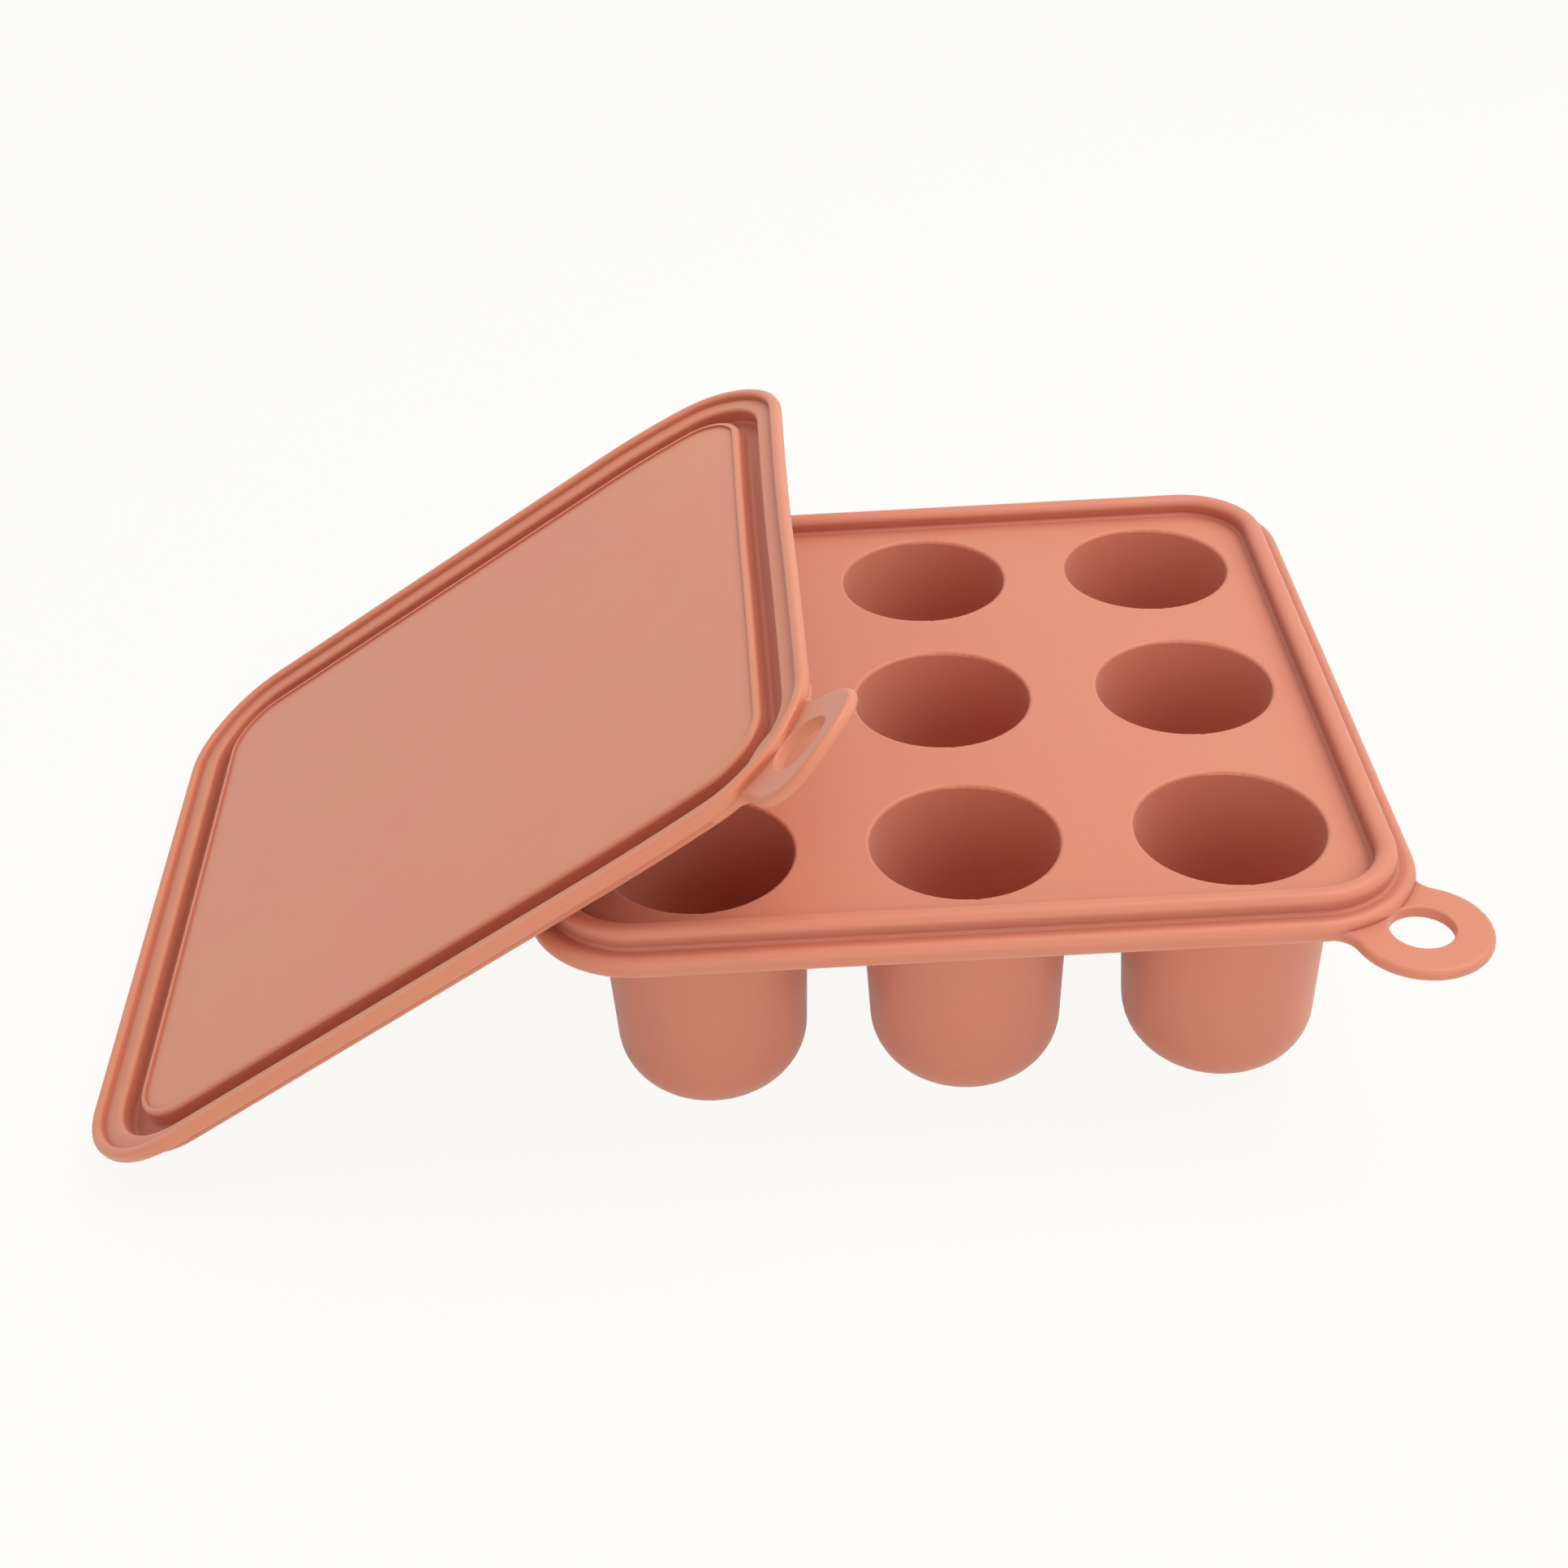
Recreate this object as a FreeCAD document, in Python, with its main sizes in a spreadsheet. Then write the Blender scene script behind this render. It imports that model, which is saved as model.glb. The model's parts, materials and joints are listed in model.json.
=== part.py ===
"""Nine-cup freezer tray for baby food, moulded in silicone, with its snap lid.

The tray stands on its cups. The lid is off: it leans against the tray with its inner face up, one
edge on the table and its underside on the tray's ridge. Sizes are in millimetres and degrees. The
origin is the middle of the tray at the height of the cups' undersides, with +X right and +Z up.
"""
import FreeCAD, Part

import math
import os

import Sketcher

SIZES = [
    ("cups_across", 3, "cups along each side of the tray"),
    ("cup_pitch", 57, "from one cup's axis to the next"),
    ("cup_depth", 59, "from the deck's top to the cups' undersides"),
    ("cup_top_radius", 23.3, "outside of a cup at the deck's top"),
    ("cup_foot_radius", 20.8, "outside of a cup where wall and base would meet"),
    ("cup_bottom_round", 13, "outside round between a cup's wall and base"),
    ("cup_wall", 2.8, "wall of a cup"),
    ("cup_floor", 2.8, "base of a cup"),
    ("mouth_round", 0.9, "round of a cup's mouth"),
    ("root_round", 2.5, "round where a cup leaves the deck's underside"),
    ("deck_thickness", 2.6, "sheet between the cups"),
    ("rim_margin", 36.2, "from the outer cups' axes to the flange's edge"),
    ("rim_height", 5, "lip of the flange, top to underside"),
    ("rim_lip", 9.2, "width of the thick lip round the flange"),
    ("rim_round", 2.2, "round of the flange's edge"),
    ("corner_radius", 24, "flange's corner, seen from above"),
    ("ridge_inset", 4.2, "from the flange's edge to the ridge"),
    ("ridge_width", 4.5, "sealing ridge, across"),
    ("ridge_height", 4.4, "sealing ridge, above the deck"),
    ("ridge_round", 2, "round of the ridge's top"),
    ("ridge_foot_round", 0.8, "round at the ridge's foot"),
    ("loop_hole_radius", 6.6, "finger hole in each loop"),
    ("loop_band", 7.8, "band of the loops, across"),
    ("loop_blend", 5, "hollow round between a loop and its corner"),
    ("loop_spread", 46, "half of the corner's angle that a loop's neck takes"),
    ("loop_sink", 0.5, "from the corner's edge in to the blend's foot"),
    ("loop_round", 1.3, "round of the loops' outer edge"),
    ("loop_hole_round", 0.5, "round of the finger hole's edge"),
    ("tray_loop_offset", 0.1, "from the flange's corner to the tray's finger hole"),
    ("tray_loop_angle", 49, "tray's loop, round the corner from its right side"),
    ("tray_loop_thickness", 2.8, "tray's loop, top to underside"),
    ("tray_loop_gap", 0.3, "closed lid, from its skirt's edge down to the tray's loop"),
    ("tray_loop_root", 6.9, "from the flange's edge in to the end of the loop's neck"),
    ("lid_loop_offset", 0.3, "from the lid's corner to its finger hole"),
    ("lid_loop_angle", 45, "lid's loop, round the corner from its right side"),
    ("lid_loop_thickness", 3, "lid's loop, top to underside"),
    ("lid_loop_drop", 0.1, "from the lid's seat to its loop"),
    ("lid_loop_root", 0.5, "end of the lid's loop, into the wall round the groove"),
    ("skirt_gap", 0.8, "closed lid, from skirt to flange"),
    ("skirt_wall", 2.6, "wall of the lid's skirt"),
    ("skirt_reach", 1.7, "closed lid, skirt's edge below the deck's top"),
    ("skirt_round", 1.1, "round of the skirt's edge"),
    ("seat_gap", 0.2, "closed lid, from its seat to the deck's top"),
    ("groove_gap", 0.4, "closed lid, from groove to ridge at each side"),
    ("groove_head_gap", 0.3, "closed lid, from groove to the ridge's top"),
    ("groove_wall", 1.5, "lid's wall round the groove"),
    ("groove_round", 1.1, "round of the groove's mouth and floor"),
    ("bead_round", 1.4, "outside round of the wall round the groove"),
    ("panel_thickness", 2, "lid's middle panel"),
    ("panel_rise", 0.8, "closed lid, from the deck's top to the panel"),
    ("lid_flange_thickness", 1.8, "lid's flange over the seat"),
    ("lid_edge_round", 1.8, "outside round from the lid's flange to its skirt"),
    ("lean_angle", 31.4, "lid's panel from level"),
    ("turn_angle", 2.4, "lid's edge from the tray's side, seen from above"),
    ("tip_angle", 0.7, "lid's far side, downwards"),
    ("lid_offset", 4.3, "lid's middle, towards the back"),
    ("rest_gap", 0.3, "from the lid to the table and to the tray"),
]

doc = FreeCAD.newDocument("FreezerTray")
sheet = doc.addObject("Spreadsheet::Sheet", "Sizes")
for row, (alias, number, meaning) in enumerate(SIZES, start=1):
    sheet.set(f"A{row}", meaning)
    sheet.set(f"B{row}", str(number))
    sheet.setAlias(f"B{row}", alias)
doc.recompute()

# Tray, worked out from the sheet. A width is half of a square outline, and a height is above z = 0.
GRID_HALF = "(Sizes.cup_pitch * (Sizes.cups_across - 1) / 2)"
FLANGE_HALF = f"({GRID_HALF} + Sizes.rim_margin)"
CORNER_CENTRE = f"({FLANGE_HALF} - Sizes.corner_radius)"
RIDGE_OUTER = f"({FLANGE_HALF} - Sizes.ridge_inset)"
RIDGE_INNER = f"({RIDGE_OUTER} - Sizes.ridge_width)"
DECK_TOP = "Sizes.cup_depth"
RIM_BOTTOM = "(Sizes.cup_depth - Sizes.rim_height)"
DECK_BOTTOM = "(Sizes.cup_depth - Sizes.deck_thickness)"
CUP_SLOPE = "((Sizes.cup_top_radius - Sizes.cup_foot_radius) / Sizes.cup_depth)"
WELL_TOP_RADIUS = "(Sizes.cup_top_radius - Sizes.cup_wall)"
WELL_FOOT_RADIUS = f"(Sizes.cup_foot_radius + {CUP_SLOPE} * Sizes.cup_floor - Sizes.cup_wall)"

# Lid, in its own frame: the skirt's edge is at z = 0 and the lid lies below it, inner face up.
SKIRT_INNER = f"({FLANGE_HALF} + Sizes.skirt_gap)"
LID_CORNER_RADIUS = "(Sizes.corner_radius + Sizes.skirt_gap + Sizes.skirt_wall)"
LID_HALF = f"({SKIRT_INNER} + Sizes.skirt_wall)"
GROOVE_OUTER = f"({RIDGE_OUTER} + Sizes.groove_gap)"
GROOVE_INNER = f"({RIDGE_INNER} - Sizes.groove_gap)"
BEAD_OUTER = f"({GROOVE_OUTER} + Sizes.groove_wall)"
PANEL_HALF = f"({GROOVE_INNER} - Sizes.groove_wall)"
SEAT_DEPTH = "(Sizes.skirt_reach + Sizes.seat_gap)"
LID_FACE_DEPTH = f"({SEAT_DEPTH} + Sizes.lid_flange_thickness)"
GROOVE_DEPTH = "(Sizes.skirt_reach + Sizes.ridge_height + Sizes.groove_head_gap)"
BEAD_DEPTH = f"({GROOVE_DEPTH} + Sizes.groove_wall)"
PANEL_DEPTH = "(Sizes.skirt_reach + Sizes.panel_rise)"
PANEL_BACK_DEPTH = f"({PANEL_DEPTH} + Sizes.panel_thickness)"

# Loops, about the centre of the front right corner. The closed lid's skirt ends above the tray's
# loop, so that it needs no notch.
LOOP_RADIUS = "(Sizes.loop_hole_radius + Sizes.loop_band)"
TRAY_LOOP_TOP = f"({DECK_TOP} - Sizes.skirt_reach - Sizes.tray_loop_gap)"
TRAY_HOLE_REACH = "(Sizes.corner_radius + Sizes.tray_loop_offset + Sizes.loop_hole_radius)"
LID_HOLE_REACH = f"({LID_CORNER_RADIUS} + Sizes.lid_loop_offset + Sizes.loop_hole_radius)"

MOST_STEPS = 60
CLOSE_ENOUGH = 0.005

NEAR = 1e-4
SKETCH_ORIGIN = (-1, 1)
H_AXIS = -1
START, END, MIDDLE = 1, 2, 3


def value(expression):
    """Returns the number that an expression in the sheet's sizes stands for."""
    return float(sheet.evalExpression(expression))


def origin_feature(body, role):
    """Returns a body's own origin plane or axis."""
    return next(item for item in body.Origin.OriginFeatures if item.Role == role)


def new_body(name):
    """Adds an empty body whose label is the piece's name."""
    body = doc.addObject("PartDesign::Body", name)
    body.Label = name
    return body


def level_sketch(body, name, height):
    """Adds a sketch on a level plane at a height."""
    sketch = body.newObject("Sketcher::SketchObject", name)
    sketch.AttachmentSupport = [(origin_feature(body, "XY_Plane"), "")]
    sketch.MapMode = "FlatFace"
    sketch.setExpression("AttachmentOffset.Base.z", height)
    return sketch


def corner_sketch(body, name, height, angle):
    """Adds a level sketch at the front right corner's centre, its +X turned from the right side."""
    sketch = level_sketch(body, name, height)
    turn = FreeCAD.Rotation(FreeCAD.Vector(0, 0, -1), value(angle))
    sketch.AttachmentOffset = FreeCAD.Placement(FreeCAD.Vector(0, 0, 0), turn)
    sketch.setExpression("AttachmentOffset.Base.x", CORNER_CENTRE)
    sketch.setExpression("AttachmentOffset.Base.y", f"-{CORNER_CENTRE}")
    sketch.setExpression("AttachmentOffset.Base.z", height)
    sketch.setExpression("AttachmentOffset.Rotation.Angle", angle)
    return sketch


def constrain(sketch, kind, *references):
    """Adds a geometric constraint."""
    sketch.addConstraint(Sketcher.Constraint(kind, *references))


def dimension(sketch, name, kind, references, size):
    """Adds a named dimension and binds it to an expression in the sheet's sizes."""
    index = sketch.addConstraint(Sketcher.Constraint(kind, *references, value(size)))
    sketch.renameConstraint(index, name)
    sketch.setExpression(f"Constraints.{name}", size)


def add_rounded_square(sketch, name, half):
    """Draws a square outline parallel to the flange's edge: its corners share the flange's centres."""
    radius = f"(Sizes.corner_radius + {half} - {FLANGE_HALF})"
    reach, bend = value(half), value(radius)
    flat = reach - bend
    first = sketch.GeometryCount
    for side in range(4):
        turn = FreeCAD.Rotation(FreeCAD.Vector(0, 0, 1), 90 * side)
        start = turn.multVec(FreeCAD.Vector(-flat, -reach, 0))
        end = turn.multVec(FreeCAD.Vector(flat, -reach, 0))
        centre = turn.multVec(FreeCAD.Vector(flat, -flat, 0))
        sketch.addGeometry(Part.LineSegment(start, end))
        circle = Part.Circle(centre, FreeCAD.Vector(0, 0, 1), bend)
        begin = math.radians(90 * side - 90)
        sketch.addGeometry(Part.ArcOfCircle(circle, begin, begin + math.pi / 2))
    for side in range(4):
        line, arc = first + 2 * side, first + 2 * side + 1
        following = first + (2 * side + 2) % 8
        constrain(sketch, "Tangent", line, END, arc, START)
        constrain(sketch, "Tangent", arc, END, following, START)
        constrain(sketch, ("Horizontal", "Vertical")[side % 2], line)
        if side:
            constrain(sketch, "Equal", first + 1, arc)
    dimension(sketch, f"{name}_corner", "Radius", (first + 1,), radius)
    front, right, back, left = (first, first + 2, first + 4, first + 6)
    dimension(sketch, f"{name}_front", "DistanceY", (front, START, *SKETCH_ORIGIN), half)
    dimension(sketch, f"{name}_right", "DistanceX", (*SKETCH_ORIGIN, right, START), half)
    dimension(sketch, f"{name}_back", "DistanceY", (*SKETCH_ORIGIN, back, START), half)
    dimension(sketch, f"{name}_left", "DistanceX", (left, START, *SKETCH_ORIGIN), half)


def square_sketch(body, name, height, **halves):
    """Adds a level sketch of one or more rounded squares, one inside the other."""
    sketch = level_sketch(body, name, height)
    for outline, half in halves.items():
        add_rounded_square(sketch, outline, half)
    doc.recompute()
    return sketch


def pad(body, name, sketch, length):
    """Adds material above a level sketch."""
    feature = body.newObject("PartDesign::Pad", name)
    feature.Profile = sketch
    feature.setExpression("Length", length)
    doc.recompute()
    return feature


def check_cut(feature, before):
    """Stops the build if a cut took nothing away."""
    if feature.Shape.isNull() or feature.Shape.Volume > before - NEAR:
        raise RuntimeError(f"{feature.Name} cuts nothing")


def pocket(body, name, sketch, depth, upwards=False):
    """Takes material away below a level sketch, or above it."""
    before = body.Tip.Shape.Volume
    feature = body.newObject("PartDesign::Pocket", name)
    feature.Profile = sketch
    feature.Reversed = upwards
    feature.setExpression("Length", depth)
    doc.recompute()
    check_cut(feature, before)
    return feature


def round_edges(body, name, radius, wanted):
    """Rounds the edges of a body's last shape that a test picks."""
    base = body.Tip
    names = [f"Edge{n}" for n, edge in enumerate(base.Shape.Edges, start=1) if wanted(edge)]
    if not names:
        raise RuntimeError(f"{name} finds no edge")
    feature = body.newObject("PartDesign::Fillet", name)
    feature.Base = (base, names)
    feature.setExpression("Radius", radius)
    doc.recompute()
    return feature


def is_level(edge, height):
    """Tells whether a whole edge lies at a height."""
    box = edge.BoundBox
    return abs(box.ZMin - height) < NEAR and abs(box.ZMax - height) < NEAR


def middle_of(edge):
    """Returns the point half way along an edge."""
    return edge.valueAt((edge.FirstParameter + edge.LastParameter) / 2)


def half_width_at(point):
    """Returns half the width of the rounded square outline that passes through a point."""
    centre = value(CORNER_CENTRE)
    x, y = abs(point.x) - centre, abs(point.y) - centre
    if x > 0 and y > 0:
        return centre + math.hypot(x, y)
    return centre + max(x, y)


def square_edges(height, *halves):
    """Returns a test for the edges of rounded squares at a height."""
    level = value(height)
    widths = [value(half) for half in halves]

    def wanted(edge):
        width = half_width_at(middle_of(edge))
        return is_level(edge, level) and any(abs(width - w) < NEAR for w in widths)

    return wanted


def cup_rings(height):
    """Returns a test for the cups' closed edges at a height."""
    level = value(height)
    widest = value("Sizes.cup_pitch")

    def wanted(edge):
        return edge.isClosed() and is_level(edge, level) and edge.BoundBox.XLength < widest

    return wanted


def cup_profile(body, name, foot_radius, top_radius, bottom):
    """Adds half of a cup's tapered section, up to the deck's top, on the front left cup's axis."""
    sketch = body.newObject("Sketcher::SketchObject", name)
    sketch.AttachmentSupport = [(origin_feature(body, "XZ_Plane"), "")]
    sketch.MapMode = "FlatFace"
    sketch.setExpression("AttachmentOffset.Base.x", f"-{GRID_HALF}")
    sketch.setExpression("AttachmentOffset.Base.y", bottom)
    sketch.setExpression("AttachmentOffset.Base.z", GRID_HALF)
    height = f"(Sizes.cup_depth - {bottom})"
    corners = [
        FreeCAD.Vector(0, 0, 0),
        FreeCAD.Vector(value(foot_radius), 0, 0),
        FreeCAD.Vector(value(top_radius), value(height), 0),
        FreeCAD.Vector(0, value(height), 0),
    ]
    for side in range(4):
        sketch.addGeometry(Part.LineSegment(corners[side], corners[(side + 1) % 4]))
    for side in range(4):
        constrain(sketch, "Coincident", side, END, (side + 1) % 4, START)
    base, wall, mouth, axis = range(4)
    constrain(sketch, "Coincident", base, START, *SKETCH_ORIGIN)
    constrain(sketch, "Horizontal", base)
    constrain(sketch, "Horizontal", mouth)
    constrain(sketch, "Vertical", axis)
    dimension(sketch, "foot_radius", "DistanceX", (base, START, base, END), foot_radius)
    dimension(sketch, "top_radius", "DistanceX", (mouth, END, mouth, START), top_radius)
    dimension(sketch, "height", "DistanceY", (axis, END, axis, START), height)
    doc.recompute()
    return sketch


def turned(body, kind, name, sketch):
    """Turns a section about its upright axis, to add or to cut."""
    feature = body.newObject(f"PartDesign::{kind}", name)
    feature.Profile = sketch
    feature.ReferenceAxis = (sketch, ["V_Axis"])
    feature.Angle = 360
    doc.recompute()
    return feature


def over_the_grid(body, name, original):
    """Repeats a feature at every cup."""
    grid = body.newObject("PartDesign::MultiTransform", name)
    grid.Originals = [original]
    patterns = []
    for axis in ("X_Axis", "Y_Axis"):
        pattern = body.newObject("PartDesign::LinearPattern", f"{name}{axis[0]}")
        pattern.Direction = (origin_feature(body, axis), [""])
        pattern.setExpression("Length", f"2 * {GRID_HALF}")
        pattern.setExpression("Occurrences", "Sizes.cups_across")
        patterns.append(pattern)
    grid.Transformations = patterns
    body.Tip = grid
    doc.recompute()
    return grid


def circle_sketch(body, name, height, angle, reach, radius):
    """Adds a level sketch of a circle, at an angle round the corner and a reach from its centre."""
    sketch = corner_sketch(body, name, height, angle)
    centre = FreeCAD.Vector(value(reach), 0, 0)
    sketch.addGeometry(Part.Circle(centre, FreeCAD.Vector(0, 0, 1), value(radius)))
    constrain(sketch, "PointOnObject", 0, MIDDLE, H_AXIS)
    dimension(sketch, "reach", "DistanceX", (*SKETCH_ORIGIN, 0, MIDDLE), reach)
    dimension(sketch, "radius", "Radius", (0,), radius)
    doc.recompute()
    return sketch


def neck_blend(foot_radius, reach):
    """Returns the hollow round beside a loop: as set, or as much as its neck has room for."""
    room = f"(Sizes.loop_spread - atan(2 * Sizes.loop_round / {foot_radius}) / 1 deg)"
    along = f"{reach} * cos({room})"
    squares = f"({foot_radius}^2 + {reach}^2 - {LOOP_RADIUS}^2 - 2 * {foot_radius} * {along})"
    return f"min(Sizes.loop_blend; {squares} / (2 * ({along} + {LOOP_RADIUS} - {foot_radius})))"


def neck_sketch(body, name, height, angle, outer_radius, inner_radius):
    """Adds a level sketch of a loop's neck: the part of a ring about the corner's centre."""
    sketch = corner_sketch(body, name, height, angle)
    spread = math.radians(value("Sizes.loop_spread"))
    ends = []
    for radius in (outer_radius, inner_radius):
        circle = Part.Circle(FreeCAD.Vector(0, 0, 0), FreeCAD.Vector(0, 0, 1), value(radius))
        arc = Part.ArcOfCircle(circle, -spread, spread)
        ends.append((arc.StartPoint, arc.EndPoint))
        sketch.addGeometry(arc)
    (outer_low, outer_high), (inner_low, inner_high) = ends
    sketch.addGeometry(Part.LineSegment(inner_low, outer_low))
    sketch.addGeometry(Part.LineSegment(inner_high, outer_high))
    outer, inner, low, high = range(4)
    constrain(sketch, "Coincident", outer, MIDDLE, *SKETCH_ORIGIN)
    constrain(sketch, "Coincident", inner, MIDDLE, *SKETCH_ORIGIN)
    constrain(sketch, "Coincident", low, START, inner, START)
    constrain(sketch, "Coincident", low, END, outer, START)
    constrain(sketch, "Coincident", high, START, inner, END)
    constrain(sketch, "Coincident", high, END, outer, END)
    dimension(sketch, "outer_radius", "Radius", (outer,), outer_radius)
    dimension(sketch, "inner_radius", "Radius", (inner,), inner_radius)
    dimension(sketch, "low_spread", "Angle", (H_AXIS, low), "-Sizes.loop_spread")
    dimension(sketch, "high_spread", "Angle", (H_AXIS, high), "Sizes.loop_spread")
    doc.recompute()
    return sketch


def distance_from(edge, reach, angle):
    """Returns how far an edge's middle stands from the upright line at a reach and angle."""
    corner = value(CORNER_CENTRE)
    turn = FreeCAD.Rotation(FreeCAD.Vector(0, 0, -1), value(angle))
    line = FreeCAD.Vector(corner, -corner, 0) + turn.multVec(FreeCAD.Vector(value(reach), 0, 0))
    middle = middle_of(edge)
    return math.hypot(middle.x - line.x, middle.y - line.y)


def fork_edges(reach, angle):
    """Returns a test for the two upright edges between a loop's ring and its neck."""

    def wanted(edge):
        is_upright = isinstance(edge.Curve, Part.Line) and edge.BoundBox.ZLength > NEAR
        return is_upright and abs(distance_from(edge, reach, angle) - value(LOOP_RADIUS)) < NEAR

    return wanted


def hole_edges(edge):
    """Tells whether an edge is one of a finger hole's two circles."""
    is_circle = isinstance(edge.Curve, Part.Circle) and edge.isClosed()
    return is_circle and abs(edge.Curve.Radius - value("Sizes.loop_hole_radius")) < NEAR


def outer_edges(angle, root_radius):
    """Returns a test for the level arcs of a loop, apart from its hole and the neck's inner end."""

    def wanted(edge):
        is_arc = isinstance(edge.Curve, Part.Circle) and not edge.isClosed()
        is_flat = edge.BoundBox.ZLength < NEAR
        return is_arc and is_flat and distance_from(edge, "0", angle) > value(root_radius) + NEAR

    return wanted


def make_loop(name, height, thickness, angle, reach, corner_radius, root_radius):
    """Builds a hanging loop: a ring outside the corner, with a neck that runs into the corner.

    height is the loop's underside, angle and reach say where its finger hole stands, corner_radius
    is the corner that it grows from and root_radius the inner end of its neck.
    """
    body = new_body(name)
    foot_radius = f"({corner_radius} - Sizes.loop_sink)"
    neck = neck_sketch(body, f"{name}NeckOutline", height, angle, foot_radius, root_radius)
    pad(body, f"{name}Neck", neck, thickness)
    ring = circle_sketch(body, f"{name}RingOutline", height, angle, reach, LOOP_RADIUS)
    pad(body, f"{name}Ring", ring, thickness)
    blend = neck_blend(foot_radius, reach)
    round_edges(body, f"{name}Blend", blend, fork_edges(reach, angle))
    hole_radius = "Sizes.loop_hole_radius"
    hole = circle_sketch(body, f"{name}HoleOutline", height, angle, reach, hole_radius)
    pocket(body, f"{name}Hole", hole, thickness, upwards=True)
    round_edges(body, f"{name}HoleRound", "Sizes.loop_hole_round", hole_edges)
    outer_round = f"min(Sizes.loop_round; {thickness} * 0.45)"
    round_edges(body, f"{name}Round", outer_round, outer_edges(angle, root_radius))
    return body


def join(body, name, loop):
    """Fuses a loop to the moulding that it belongs to."""
    feature = body.newObject("PartDesign::Boolean", name)
    feature.Type = "Fuse"
    feature.setObjects([loop])
    body.Tip = feature
    doc.recompute()
    return feature


def make_tray():
    """Builds the tray: flange, ridge, deck, nine cups and the loop, all one moulding."""
    tray = new_body("tray")
    flange = square_sketch(tray, "FlangeOutline", RIM_BOTTOM, flange=FLANGE_HALF)
    pad(tray, "Flange", flange, "Sizes.rim_height")
    rim_round = "min(Sizes.rim_round; Sizes.rim_height * 0.45)"
    on_top = square_edges(DECK_TOP, FLANGE_HALF)
    underneath = square_edges(RIM_BOTTOM, FLANGE_HALF)
    round_edges(tray, "FlangeRound", rim_round, lambda edge: on_top(edge) or underneath(edge))

    hollow_half = f"({FLANGE_HALF} - Sizes.rim_lip)"
    hollow = square_sketch(tray, "DeckHollowOutline", RIM_BOTTOM, hollow=hollow_half)
    pocket(tray, "DeckHollow", hollow, "Sizes.rim_height - Sizes.deck_thickness", upwards=True)

    ridge = square_sketch(tray, "RidgeOutline", DECK_TOP, outer=RIDGE_OUTER, inner=RIDGE_INNER)
    pad(tray, "Ridge", ridge, "Sizes.ridge_height")
    ridge_top = square_edges(f"{DECK_TOP} + Sizes.ridge_height", RIDGE_OUTER, RIDGE_INNER)
    round_edges(tray, "RidgeTopRound", "min(Sizes.ridge_round; Sizes.ridge_width * 0.45)", ridge_top)
    ridge_foot = square_edges(DECK_TOP, RIDGE_OUTER, RIDGE_INNER)
    round_edges(tray, "RidgeFootRound", "Sizes.ridge_foot_round", ridge_foot)

    cup = cup_profile(tray, "CupSection", "Sizes.cup_foot_radius", "Sizes.cup_top_radius", "0")
    cup_shell = turned(tray, "Revolution", "Cup", cup)
    over_the_grid(tray, "Cups", cup_shell)
    solid_volume = tray.Tip.Shape.Volume
    well = cup_profile(tray, "WellSection", WELL_FOOT_RADIUS, WELL_TOP_RADIUS, "Sizes.cup_floor")
    well_cut = turned(tray, "Groove", "Well", well)
    check_cut(well_cut, solid_volume)
    over_the_grid(tray, "Wells", well_cut)
    check_cut(tray.Tip, well_cut.Shape.Volume)

    round_edges(tray, "CupBottomRound", "Sizes.cup_bottom_round", cup_rings("0"))
    well_bottom_round = "Sizes.cup_bottom_round - Sizes.cup_wall"
    round_edges(tray, "WellBottomRound", well_bottom_round, cup_rings("Sizes.cup_floor"))
    round_edges(tray, "CupRootRound", "Sizes.root_round", cup_rings(DECK_BOTTOM))
    round_edges(tray, "MouthRound", "Sizes.mouth_round", cup_rings(DECK_TOP))

    thickness = "Sizes.tray_loop_thickness"
    loop_bottom = f"({TRAY_LOOP_TOP} - {thickness})"
    angle = "Sizes.tray_loop_angle"
    root_radius = "(Sizes.corner_radius - Sizes.tray_loop_root)"
    loop = make_loop(
        "TrayLoop", loop_bottom, thickness, angle, TRAY_HOLE_REACH, "Sizes.corner_radius", root_radius
    )
    join(tray, "TrayWithLoop", loop)
    return tray


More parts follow.
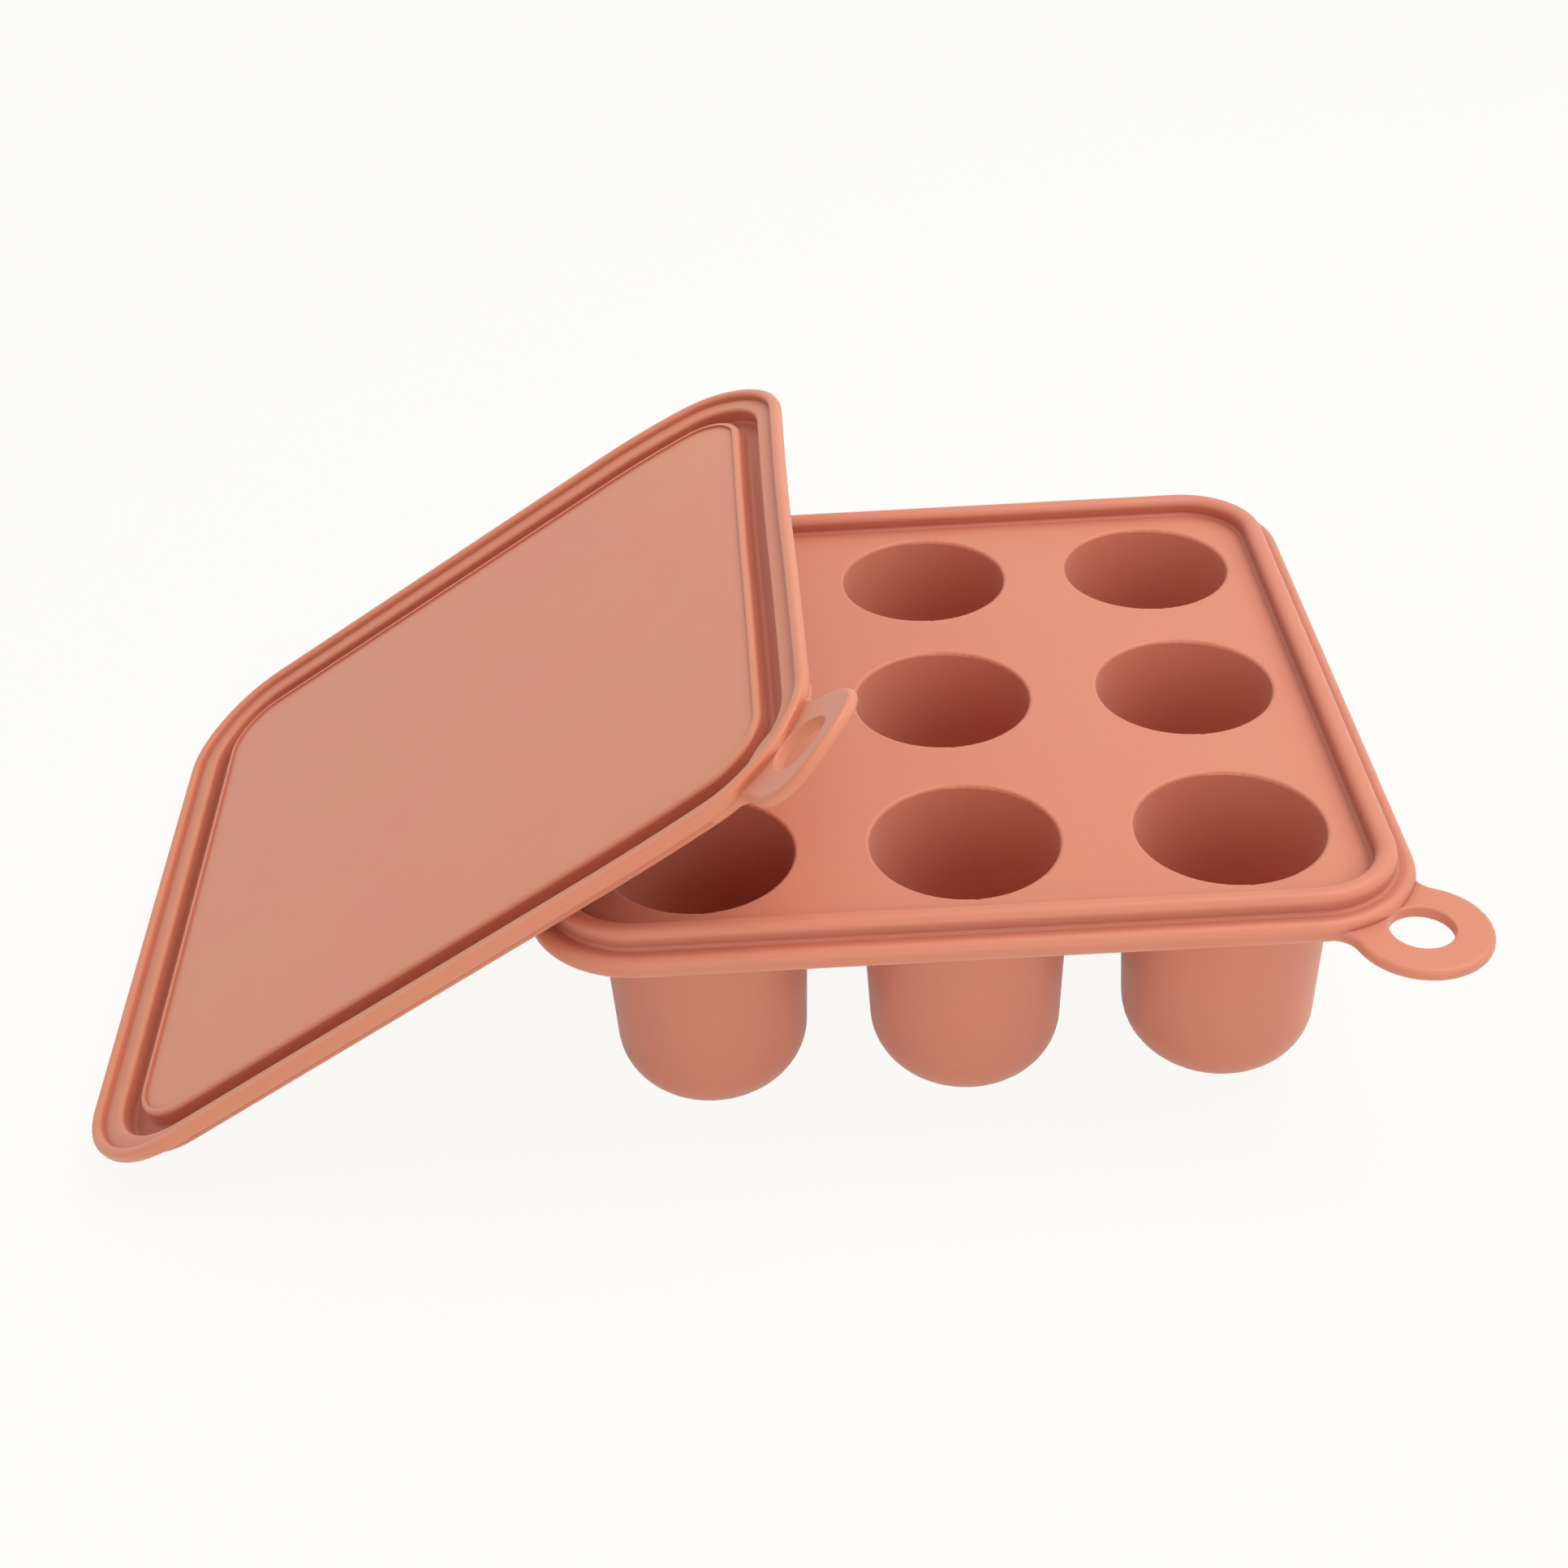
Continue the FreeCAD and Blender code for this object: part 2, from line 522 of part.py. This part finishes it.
def make_lid():
    """Builds the lid in its own frame: panel, groove, flange, skirt and loop, all one moulding."""
    lid = new_body("lid")
    flange = square_sketch(lid, "LidOutline", f"-{LID_FACE_DEPTH}", lid=LID_HALF)
    pad(lid, "LidFlange", flange, LID_FACE_DEPTH)
    bead = square_sketch(lid, "BeadOutline", f"-{BEAD_DEPTH}", bead=BEAD_OUTER)
    pad(lid, "Bead", bead, f"{BEAD_DEPTH} - {LID_FACE_DEPTH}")
    seat = square_sketch(lid, "SeatOutline", "0", seat=SKIRT_INNER)
    pocket(lid, "Seat", seat, SEAT_DEPTH)
    groove = square_sketch(
        lid, "GrooveOutline", f"-{SEAT_DEPTH}", outer=GROOVE_OUTER, inner=GROOVE_INNER
    )
    pocket(lid, "Groove", groove, f"{GROOVE_DEPTH} - {SEAT_DEPTH}")
    panel = square_sketch(lid, "PanelOutline", f"-{SEAT_DEPTH}", panel=PANEL_HALF)
    pocket(lid, "Panel", panel, f"{PANEL_DEPTH} - {SEAT_DEPTH}")
    back = square_sketch(lid, "PanelBackOutline", f"-{BEAD_DEPTH}", back=PANEL_HALF)
    pocket(lid, "PanelBack", back, f"{BEAD_DEPTH} - {PANEL_BACK_DEPTH}", upwards=True)

    skirt_edge = square_edges("0", LID_HALF, SKIRT_INNER)
    round_edges(lid, "SkirtRound", "min(Sizes.skirt_round; Sizes.skirt_wall * 0.45)", skirt_edge)
    lid_edge = square_edges(f"-{LID_FACE_DEPTH}", LID_HALF)
    round_edges(lid, "LidEdgeRound", "Sizes.lid_edge_round", lid_edge)
    bead_edge = square_edges(f"-{BEAD_DEPTH}", BEAD_OUTER, PANEL_HALF)
    round_edges(lid, "BeadRound", "Sizes.bead_round", bead_edge)
    groove_mouth = square_edges(f"-{SEAT_DEPTH}", GROOVE_OUTER, GROOVE_INNER)
    round_edges(lid, "GrooveRound", "Sizes.groove_round", groove_mouth)
    groove_floor = square_edges(f"-{GROOVE_DEPTH}", GROOVE_OUTER, GROOVE_INNER)
    round_edges(lid, "GrooveFloorRound", "Sizes.groove_round", groove_floor)

    thickness = "Sizes.lid_loop_thickness"
    loop_bottom = f"-({SEAT_DEPTH} + Sizes.lid_loop_drop + {thickness})"
    angle = "Sizes.lid_loop_angle"
    bead_corner = "(Sizes.corner_radius - Sizes.ridge_inset + Sizes.groove_gap + Sizes.groove_wall)"
    root_radius = f"({bead_corner} - Sizes.lid_loop_root)"
    loop = make_loop(
        "LidLoop", loop_bottom, thickness, angle, LID_HOLE_REACH, LID_CORNER_RADIUS, root_radius
    )
    join(lid, "LidWithLoop", loop)
    return lid


def settle_lid(lid, rim):
    """Leans the lid on the tray's rim: it slides along the table until it rests on the ridge.

    The lid is turned to its three angles and stood on the table, well to the tray's left. Each step
    then takes it to the right by the room that is left, which can never carry it into the rim.
    """
    turn = FreeCAD.Rotation(FreeCAD.Vector(0, 0, 1), value("Sizes.turn_angle"))
    lean = FreeCAD.Rotation(FreeCAD.Vector(0, 1, 0), -value("Sizes.lean_angle"))
    tip = FreeCAD.Rotation(FreeCAD.Vector(1, 0, 0), -value("Sizes.tip_angle"))
    rotation = turn.multiply(lean).multiply(tip)
    tilted = lid.Shape.copy()
    tilted.Placement = FreeCAD.Placement(FreeCAD.Vector(0, 0, 0), rotation)
    gap = value("Sizes.rest_gap")
    start = -2 * value(LID_HALF) - value(FLANGE_HALF)
    height = gap - tilted.optimalBoundingBox(False).ZMin
    spot = FreeCAD.Vector(start, value("Sizes.lid_offset"), height)
    for _ in range(MOST_STEPS):
        tilted.Placement = FreeCAD.Placement(spot, rotation)
        room = tilted.distToShape(rim)[0] - gap
        if room < CLOSE_ENOUGH:
            break
        spot.x += room
    lid.Placement = FreeCAD.Placement(spot, rotation)


def check(document, pieces):
    """Stops the build if a feature failed or a piece isn't one valid solid."""
    failed = [item.Name for item in document.Objects if {"Invalid", "Error"} & set(item.State)]
    if failed:
        raise RuntimeError(f"features failed: {failed}")
    for piece in pieces:
        shape = piece.Shape
        if shape.isNull() or not shape.isValid() or len(shape.Solids) != 1:
            raise RuntimeError(f"{piece.Label} is not one valid solid")


tray_body = make_tray()
lid_body = make_lid()
settle_lid(lid_body, doc.getObject("RidgeFootRound").Shape)
doc.recompute()
check(doc, (tray_body, lid_body))
os.makedirs("parts", exist_ok=True)
for piece in (tray_body, lid_body):
    piece.Shape.exportStep(f"parts/{piece.Label}.step")
    box = piece.Shape.optimalBoundingBox(False)
    print(piece.Label, round(piece.Shape.Volume), piece.Placement, box)
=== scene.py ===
"""Finish, studio and camera for the nine-cup silicone freezer tray and its snap lid."""

import json
import logging
import math
from dataclasses import dataclass
from enum import Enum

import bpy
from mathutils import Matrix, Vector


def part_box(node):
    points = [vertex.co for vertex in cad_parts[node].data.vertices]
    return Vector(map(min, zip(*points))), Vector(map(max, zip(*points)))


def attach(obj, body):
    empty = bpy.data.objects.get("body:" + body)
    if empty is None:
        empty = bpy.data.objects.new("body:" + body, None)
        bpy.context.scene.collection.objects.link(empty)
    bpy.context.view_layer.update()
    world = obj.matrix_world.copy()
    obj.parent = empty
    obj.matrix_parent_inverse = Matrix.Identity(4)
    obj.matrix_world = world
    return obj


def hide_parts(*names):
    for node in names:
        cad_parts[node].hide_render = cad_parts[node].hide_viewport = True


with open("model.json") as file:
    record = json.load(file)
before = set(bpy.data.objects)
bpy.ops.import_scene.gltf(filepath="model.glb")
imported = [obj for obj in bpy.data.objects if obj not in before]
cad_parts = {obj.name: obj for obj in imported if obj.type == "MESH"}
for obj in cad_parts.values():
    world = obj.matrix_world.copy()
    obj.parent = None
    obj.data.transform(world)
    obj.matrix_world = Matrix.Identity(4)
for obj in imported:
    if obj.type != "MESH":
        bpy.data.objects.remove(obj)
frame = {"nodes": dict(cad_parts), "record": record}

LOG = logging.getLogger("freezer_tray")
MM = 0.001


class Piece(str, Enum):
    """The two mouldings, by the names of their nodes and bodies."""

    TRAY = "tray"
    LID = "lid"


def linear(colour: str) -> tuple[float, float, float, float]:
    """Turns an sRGB hex colour into linear light.

    Args:
        colour: Six hex digits after a hash sign.

    Returns:
        Red, green, blue and an alpha of one.
    """
    channels = [int(colour[place:place + 2], 16) / 255 for place in (1, 3, 5)]
    red, green, blue = (
        c / 12.92 if c <= 0.04045 else ((c + 0.055) / 1.055) ** 2.4 for c in channels
    )
    return red, green, blue, 1.0


def add_node(
    tree: bpy.types.NodeTree,
    kind: str,
    settings: dict[str | int, object] | None = None,
    links: dict[str | int, bpy.types.NodeSocket] | None = None,
) -> bpy.types.Node:
    """Adds a node with its settings and links.

    Args:
        tree: The node tree that gets the node.
        kind: The node's type, such as ShaderNodeTexNoise.
        settings: Attributes by name, or values of inputs by name or number.
        links: Output sockets to link to this node's inputs, by name or number.

    Returns:
        The new node.
    """
    node = tree.nodes.new(kind)
    for name, setting in (settings or {}).items():
        if isinstance(name, str) and hasattr(node, name):
            setattr(node, name, setting)
        else:
            node.inputs[name].default_value = setting
    for name, source in (links or {}).items():
        tree.links.new(source, node.inputs[name])
    return node


def empty_material(name: str) -> bpy.types.Material:
    """Adds a material with no nodes.

    Args:
        name: The material's name.

    Returns:
        The new material.
    """
    material = bpy.data.materials.new(name)
    material.use_nodes = True
    material.node_tree.nodes.clear()
    return material


def seen_directly(tree: bpy.types.NodeTree) -> bpy.types.NodeSocket:
    """Tells rays that show the background from rays that carry light.

    Args:
        tree: The node tree that asks.

    Returns:
        An output that is one for a ray that shows the background, and zero for light.
    """
    ray = add_node(tree, "ShaderNodeLightPath").outputs
    mirrored = add_node(
        tree,
        "ShaderNodeMath",
        {"operation": "ADD"},
        {0: ray["Is Glossy Ray"], 1: ray["Is Transmission Ray"]},
    )
    return add_node(
        tree,
        "ShaderNodeMath",
        {"operation": "ADD", "use_clamp": True},
        {0: ray["Is Camera Ray"], 1: mirrored.outputs[0]},
    ).outputs[0]


@dataclass(frozen=True)
class MouldedSilicone:
    """Platinum-cured silicone as it leaves a sandblasted steel mould.

    It is satin, because the mould's grit leaves fine grain, and its pigment clouds a little
    where the rubber flowed. Light goes a few millimetres in, red furthest, which softens the thin
    rims. Shade is painted into the colour as a deeper red along the roots of ridges and in
    grooves, where other rubber lies close by. The grain of a real mould is about 0.1 mm; it is
    drawn coarser, so that it shows.

    A point's open share is how much of its surroundings, out to painted_shade_reach_mm, is free of
    rubber. The painted shade starts under open_share and is full at full_painted_shade_share.
    """

    name: str
    colour: str
    cloud_colour: str
    # The next colour is the darker red of the painted shade in creases and at the roots of ridges.
    painted_shade_colour: str
    cloud_mm: float = 38.0
    cloud_detail: float = 2.0
    cloud_roughness: float = 0.45
    # How far the painted shade looks for nearby rubber, and where it starts and is full.
    painted_shade_reach_mm: float = 6.0
    painted_shade_samples: int = 12
    open_share: float = 0.97
    full_painted_shade_share: float = 0.6
    grain_mm: float = 0.7
    grain_detail: float = 2.0
    grain_depth_mm: float = 0.026
    smear_mm: float = 9.0
    smear_detail: float = 3.0
    roughness: float = 0.46
    roughness_swing: float = 0.06
    ior: float = 1.41
    sheen: float = 0.1
    sheen_roughness: float = 0.5
    light_share: float = 0.18
    light_depth_mm: float = 2.5
    light_reach: tuple[float, float, float] = (1.0, 0.4, 0.28)

    def build(self) -> bpy.types.Material:
        """Builds the rubber's colour, gloss and grain.

        Returns:
            The material.
        """
        material = empty_material(self.name)
        tree = material.node_tree
        place = add_node(tree, "ShaderNodeTexCoord").outputs["Object"]
        clouds = add_node(
            tree,
            "ShaderNodeTexNoise",
            {
                "Scale": 1 / (self.cloud_mm * MM),
                "Detail": self.cloud_detail,
                "Roughness": self.cloud_roughness,
            },
            {"Vector": place},
        )
        colour = add_node(
            tree,
            "ShaderNodeMix",
            {"data_type": "RGBA", 6: linear(self.colour), 7: linear(self.cloud_colour)},
            {0: clouds.outputs["Fac"]},
        )
        # Painted shade: ambient occlusion mixes the colour toward a darker red in creases, grooves
        # and at the roots of ridges, where shade falls.
        shelter = add_node(
            tree,
            "ShaderNodeAmbientOcclusion",
            {"only_local": True, "samples": self.painted_shade_samples, "Distance": self.painted_shade_reach_mm * MM},
        )
        painted_shade_mask = add_node(
            tree,
            "ShaderNodeMapRange",
            {
                "From Min": self.full_painted_shade_share,
                "From Max": self.open_share,
                "To Min": 1.0,
                "To Max": 0.0,
            },
            {"Value": shelter.outputs["AO"]},
        )
        tint = add_node(
            tree,
            "ShaderNodeMix",
            {"data_type": "RGBA", 7: linear(self.painted_shade_colour)},
            {0: painted_shade_mask.outputs["Result"], 6: colour.outputs[2]},
        )
        smears = add_node(
            tree,
            "ShaderNodeTexNoise",
            {"Scale": 1 / (self.smear_mm * MM), "Detail": self.smear_detail},
            {"Vector": place},
        )
        satin = add_node(
            tree,
            "ShaderNodeMapRange",
            {
                "To Min": self.roughness - self.roughness_swing,
                "To Max": self.roughness + self.roughness_swing,
            },
            {"Value": smears.outputs["Fac"]},
        )
        grain = add_node(
            tree,
            "ShaderNodeTexNoise",
            {"Scale": 1 / (self.grain_mm * MM), "Detail": self.grain_detail},
            {"Vector": place},
        )
        bump = add_node(
            tree,
            "ShaderNodeBump",
            {"Strength": 1.0, "Distance": self.grain_depth_mm * MM},
            {"Height": grain.outputs["Fac"]},
        )
        shader = add_node(
            tree,
            "ShaderNodeBsdfPrincipled",
            {
                "IOR": self.ior,
                "Sheen Weight": self.sheen,
                "Sheen Roughness": self.sheen_roughness,
                "Subsurface Weight": self.light_share,
                "Subsurface Radius": self.light_reach,
                "Subsurface Scale": self.light_depth_mm * MM,
            },
            {
                "Base Color": tint.outputs[2],
                "Roughness": satin.outputs["Result"],
                "Normal": bump.outputs["Normal"],
            },
        )
        add_node(tree, "ShaderNodeOutputMaterial", links={"Surface": shader.outputs["BSDF"]})
        return material


@dataclass(frozen=True)
class WhiteLaminate:
    """The table's white laminate.

    It is matt, so the tray leaves only a soft shadow on it. Rays that show it directly get most of
    their colour from a plain glow, which keeps it white without more light on the tray.
    """

    name: str = "white_laminate"
    colour: str = "#f6f5f2"
    glow_colour: str = "#fffefa"
    glow_share: float = 0.93

    def build(self) -> bpy.types.Material:
        """Builds the laminate's paint and glow.

        Returns:
            The material.
        """
        material = empty_material(self.name)
        tree = material.node_tree
        paint = add_node(tree, "ShaderNodeBsdfDiffuse", {"Color": linear(self.colour)})
        glow = add_node(tree, "ShaderNodeEmission", {"Color": linear(self.glow_colour)})
        share = add_node(
            tree,
            "ShaderNodeMath",
            {"operation": "MULTIPLY", 1: self.glow_share},
            {0: seen_directly(tree)},
        )
        both = add_node(
            tree,
            "ShaderNodeMixShader",
            links={0: share.outputs[0], 1: paint.outputs[0], 2: glow.outputs[0]},
        )
        add_node(tree, "ShaderNodeOutputMaterial", links={"Surface": both.outputs[0]})
        return material


@dataclass(frozen=True)
class Tray:
    """The tray: deck, ridge, flange, nine cups and loop in one moulding."""

    skin: MouldedSilicone

    def dress(self) -> None:
        """Gives the moulding its silicone."""
        material = self.skin.build()
        for slot in frame["nodes"][Piece.TRAY.value].material_slots:
            slot.material = material


@dataclass(frozen=True)
class SnapLid:
    """The lid, a soft sheet with a moulded rim, as it bends where it leans over the tray's ridge.

    Lifts are along the lid's own normal, out of its inner face, in millimetres. They start uphill
    of the line where the lid lies on the ridge, so that line and the edge on the table stay put.
    """

    skin: MouldedSilicone
    half_mm: float = 96.6
    ridge_line_mm: float = 36.0
    near_corner_lift_mm: float = 3.5
    far_corner_drop_mm: float = 6.5
    panel_sag_mm: float = 0.7
    loop_root_mm: float = 8.0
    loop_end_mm: float = 14.4
    loop_lift_mm: float = 4.5
    cut_mm: float = 4.5
    merge_mm: float = 0.001
    smooth_angle: float = 35.0

    def finger_hole(self) -> tuple[Vector, Vector]:
        """Returns the middle of the loop's finger hole and its axis, from the record."""
        mounts = {mount["name"]: mount for mount in frame["record"]["mounts"]}
        hole = mounts["lid_loop"]
        return Vector(hole["pos_m"]), Vector(hole["axis"]).normalized()

    def axes(self) -> tuple[Vector, Vector, Vector, Vector]:
        """Works out the lid's own frame.

        Returns:
            The middle of the lid, its normal, the way uphill and the level way to the back.
        """
        normal = self.finger_hole()[1]
        back = Vector((0, 0, 1)).cross(normal).normalized()
        if back.y < 0:
            back.negate()
        uphill = back.cross(normal)
        low, high = (Vector(corner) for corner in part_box(Piece.LID.value))
        return (low + high) / 2, normal, uphill, back

    def copy_moulding(self) -> bpy.types.Object:
        """Copies the moulding's solid as one joined mesh.

        Returns:
            The copy, selected and active.
        """
        bpy.ops.object.select_all(action="DESELECT")
        lid = frame["nodes"][Piece.LID.value].copy()
        lid.data = lid.data.copy()
        lid.name = "lid_moulding"
        lid.parent = None
        lid.matrix_world = Matrix.Identity(4)
        bpy.context.scene.collection.objects.link(lid)
        lid.select_set(True)
        bpy.context.view_layer.objects.active = lid
        bpy.ops.mesh.customdata_custom_splitnormals_clear()
        bpy.ops.object.mode_set(mode="EDIT")
        bpy.ops.mesh.select_all(action="SELECT")
        bpy.ops.mesh.remove_doubles(threshold=self.merge_mm * MM)
        bpy.ops.object.mode_set(mode="OBJECT")
        return lid

    def cut_rows(self, middle: Vector, ways: tuple[Vector, Vector]) -> None:
        """Cuts the active mesh into rows, so that its wide faces can bend.

        Args:
            middle: The middle of the lid.
            ways: The ways along which the rows follow each other.
        """
        rows = int(self.half_mm / self.cut_mm)
        bpy.ops.object.mode_set(mode="EDIT")
        for way in ways:
            for row in range(-rows, rows + 1):
                bpy.ops.mesh.select_all(action="SELECT")
                bpy.ops.mesh.bisect(plane_co=middle + way * row * self.cut_mm * MM, plane_no=way)
        bpy.ops.object.mode_set(mode="OBJECT")

    def lift_at(self, uphill: float, back: float, past_loop_root: float) -> float:
        """Says how far a point of the lid is lifted.

        Args:
            uphill: From the lid's middle towards its raised edge, in millimetres.
            back: From the lid's middle towards its far side, in millimetres.
            past_loop_root: From the root of the loop outwards, in millimetres.

        Returns:
            The lift along the lid's normal, in millimetres.
        """
        reach = max(0.0, uphill - self.ridge_line_mm) / (self.half_mm - self.ridge_line_mm)
        side = back / self.half_mm
        corner = -self.far_corner_drop_mm if side > 0 else -self.near_corner_lift_mm
        dish = (1 - min(1.0, abs(uphill) / self.half_mm) ** 2) * (1 - min(1.0, abs(side)) ** 2)
        curl = max(0.0, past_loop_root) / (self.loop_root_mm + self.loop_end_mm)
        return (
            corner * side * reach**2 * abs(side) ** 0.5
            - self.panel_sag_mm * dish
            + self.loop_lift_mm * curl**2
        )

    def bend(self, lid: bpy.types.Object) -> None:
        """Moves the mesh's points by the lid's lift.

        Args:
            lid: The lid's joined mesh, active.
        """
        middle, normal, uphill, back = self.axes()
        self.cut_rows(middle, (uphill, back))
        hole = self.finger_hole()[0]
        outwards = hole - middle
        outwards = (outwards - normal * outwards.dot(normal)).normalized()
        for vertex in lid.data.vertices:
            place = vertex.co - middle
            past = (vertex.co - hole).dot(outwards) / MM + self.loop_root_mm
            lift = self.lift_at(place.dot(uphill) / MM, place.dot(back) / MM, past)
            vertex.co += normal * lift * MM

    def build(self) -> bpy.types.Object:
        """Builds the bent lid in place of its solid.

        Returns:
            The lid's object.
        """
        lid = self.copy_moulding()
        self.bend(lid)
        bpy.ops.object.shade_smooth_by_angle(angle=math.radians(self.smooth_angle))
        lid.modifiers.new("flat_faces", "WEIGHTED_NORMAL").keep_sharp = True
        bpy.ops.object.modifier_apply(modifier="flat_faces")
        lid.data.materials.clear()
        lid.data.materials.append(self.skin.build())
        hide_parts(Piece.LID.value)
        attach(lid, Piece.LID.value)
        return lid


@dataclass(frozen=True)
class SoftLamp:
    """A square soft lamp that faces the tray, with its places and its side in metres."""

    name: str
    spot: tuple[float, float, float]
    side: float
    watts: float
    aim: tuple[float, float, float] = (0.0, 0.0, 0.04)

    def hang(self) -> None:
        """Adds the lamp."""
        bpy.ops.object.select_all(action="DESELECT")
        bpy.ops.object.light_add(type="AREA", location=self.spot)
        lamp = bpy.context.object
        lamp.name = self.name
        lamp.data.size = self.side
        lamp.data.energy = self.watts
        away = Vector(self.spot) - Vector(self.aim)
        lamp.rotation_euler = away.to_track_quat("Z", "Y").to_euler()


@dataclass(frozen=True)
class Studio:
    """A white table under a soft box, a low fill in front, and the camera.

    Places and sizes are in metres, angles in degrees, and the lens in millimetres.
    """

    table_size: float = 6.0
    laminate: WhiteLaminate = WhiteLaminate()
    sky_colour: str = "#ffffff"
    sky_strength: float = 0.58
    lamps: tuple[SoftLamp, ...] = (
        SoftLamp("soft_box", (0.40, 0.02, 0.84), side=0.6, watts=4.4),
        SoftLamp("front_fill", (0.06, -0.95, 0.30), side=0.5, watts=1.5),
    )
    camera_spot: tuple[float, float, float] = (-0.0360, -0.4453, 0.3426)
    camera_elevation: float = 34.48
    camera_azimuth: float = 0.29
    camera_roll: float = -3.19
    camera_clip: float = 0.01
    lens_mm: float = 51.43
    sensor_mm: float = 36.0

    def lay_table(self) -> None:
        """Adds the table."""
        bpy.ops.object.select_all(action="DESELECT")
        bpy.ops.mesh.primitive_plane_add(size=self.table_size)
        table = bpy.context.object
        table.name = "table"
        table.data.materials.append(self.laminate.build())

    def light(self) -> None:
        """Hangs the lamps and adds the sky, a soft light that looks as white as the table."""
        for lamp in self.lamps:
            lamp.hang()
        world = bpy.data.worlds.new("studio")
        bpy.context.scene.world = world
        world.use_nodes = True
        tree = world.node_tree
        tree.nodes.clear()
        sky = add_node(
            tree,
            "ShaderNodeBackground",
            {"Color": linear(self.sky_colour), "Strength": self.sky_strength},
        )
        backdrop = add_node(
            tree,
            "ShaderNodeBackground",
            {"Color": linear(self.laminate.glow_colour), "Strength": 1.0},
        )
        both = add_node(
            tree,
            "ShaderNodeMixShader",
            links={0: seen_directly(tree), 1: sky.outputs[0], 2: backdrop.outputs[0]},
        )
        add_node(tree, "ShaderNodeOutputWorld", links={"Surface": both.outputs[0]})

    def set_camera(self) -> None:
        """Adds the camera."""
        bpy.ops.object.select_all(action="DESELECT")
        bpy.ops.object.camera_add(location=self.camera_spot)
        camera = bpy.context.object
        turn = (
            Matrix.Rotation(math.radians(self.camera_azimuth), 4, "Z")
            @ Matrix.Rotation(math.radians(90 - self.camera_elevation), 4, "X")
            @ Matrix.Rotation(math.radians(self.camera_roll), 4, "Z")
        )
        camera.rotation_euler = turn.to_euler()
        camera.data.lens = self.lens_mm
        camera.data.sensor_width = self.sensor_mm
        camera.data.clip_start = self.camera_clip
        bpy.context.scene.camera = camera


# The third colour of each silicone is the darker red of its painted shade in creases.
TRAY_SILICONE = MouldedSilicone(
    name="silicone_tray", colour="#dc866d", cloud_colour="#d98d70", painted_shade_colour="#b96650"
)
LID_SILICONE = MouldedSilicone(
    name="silicone_lid", colour="#e38a71", cloud_colour="#de946e", painted_shade_colour="#cb765b"
)


def main() -> None:
    """Dresses the tray, bends the lid and sets up the studio."""
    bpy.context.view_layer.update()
    Tray(TRAY_SILICONE).dress()
    LOG.info("tray dressed")
    lid = SnapLid(LID_SILICONE).build()
    LOG.info("lid bent: %d faces", len(lid.data.polygons))
    studio = Studio()
    studio.lay_table()
    studio.light()
    studio.set_camera()
    LOG.info("studio set")
    bpy.context.scene.view_settings.view_transform = "Standard"


if __name__ == "__main__":
    logging.basicConfig(level=logging.INFO)
    main()
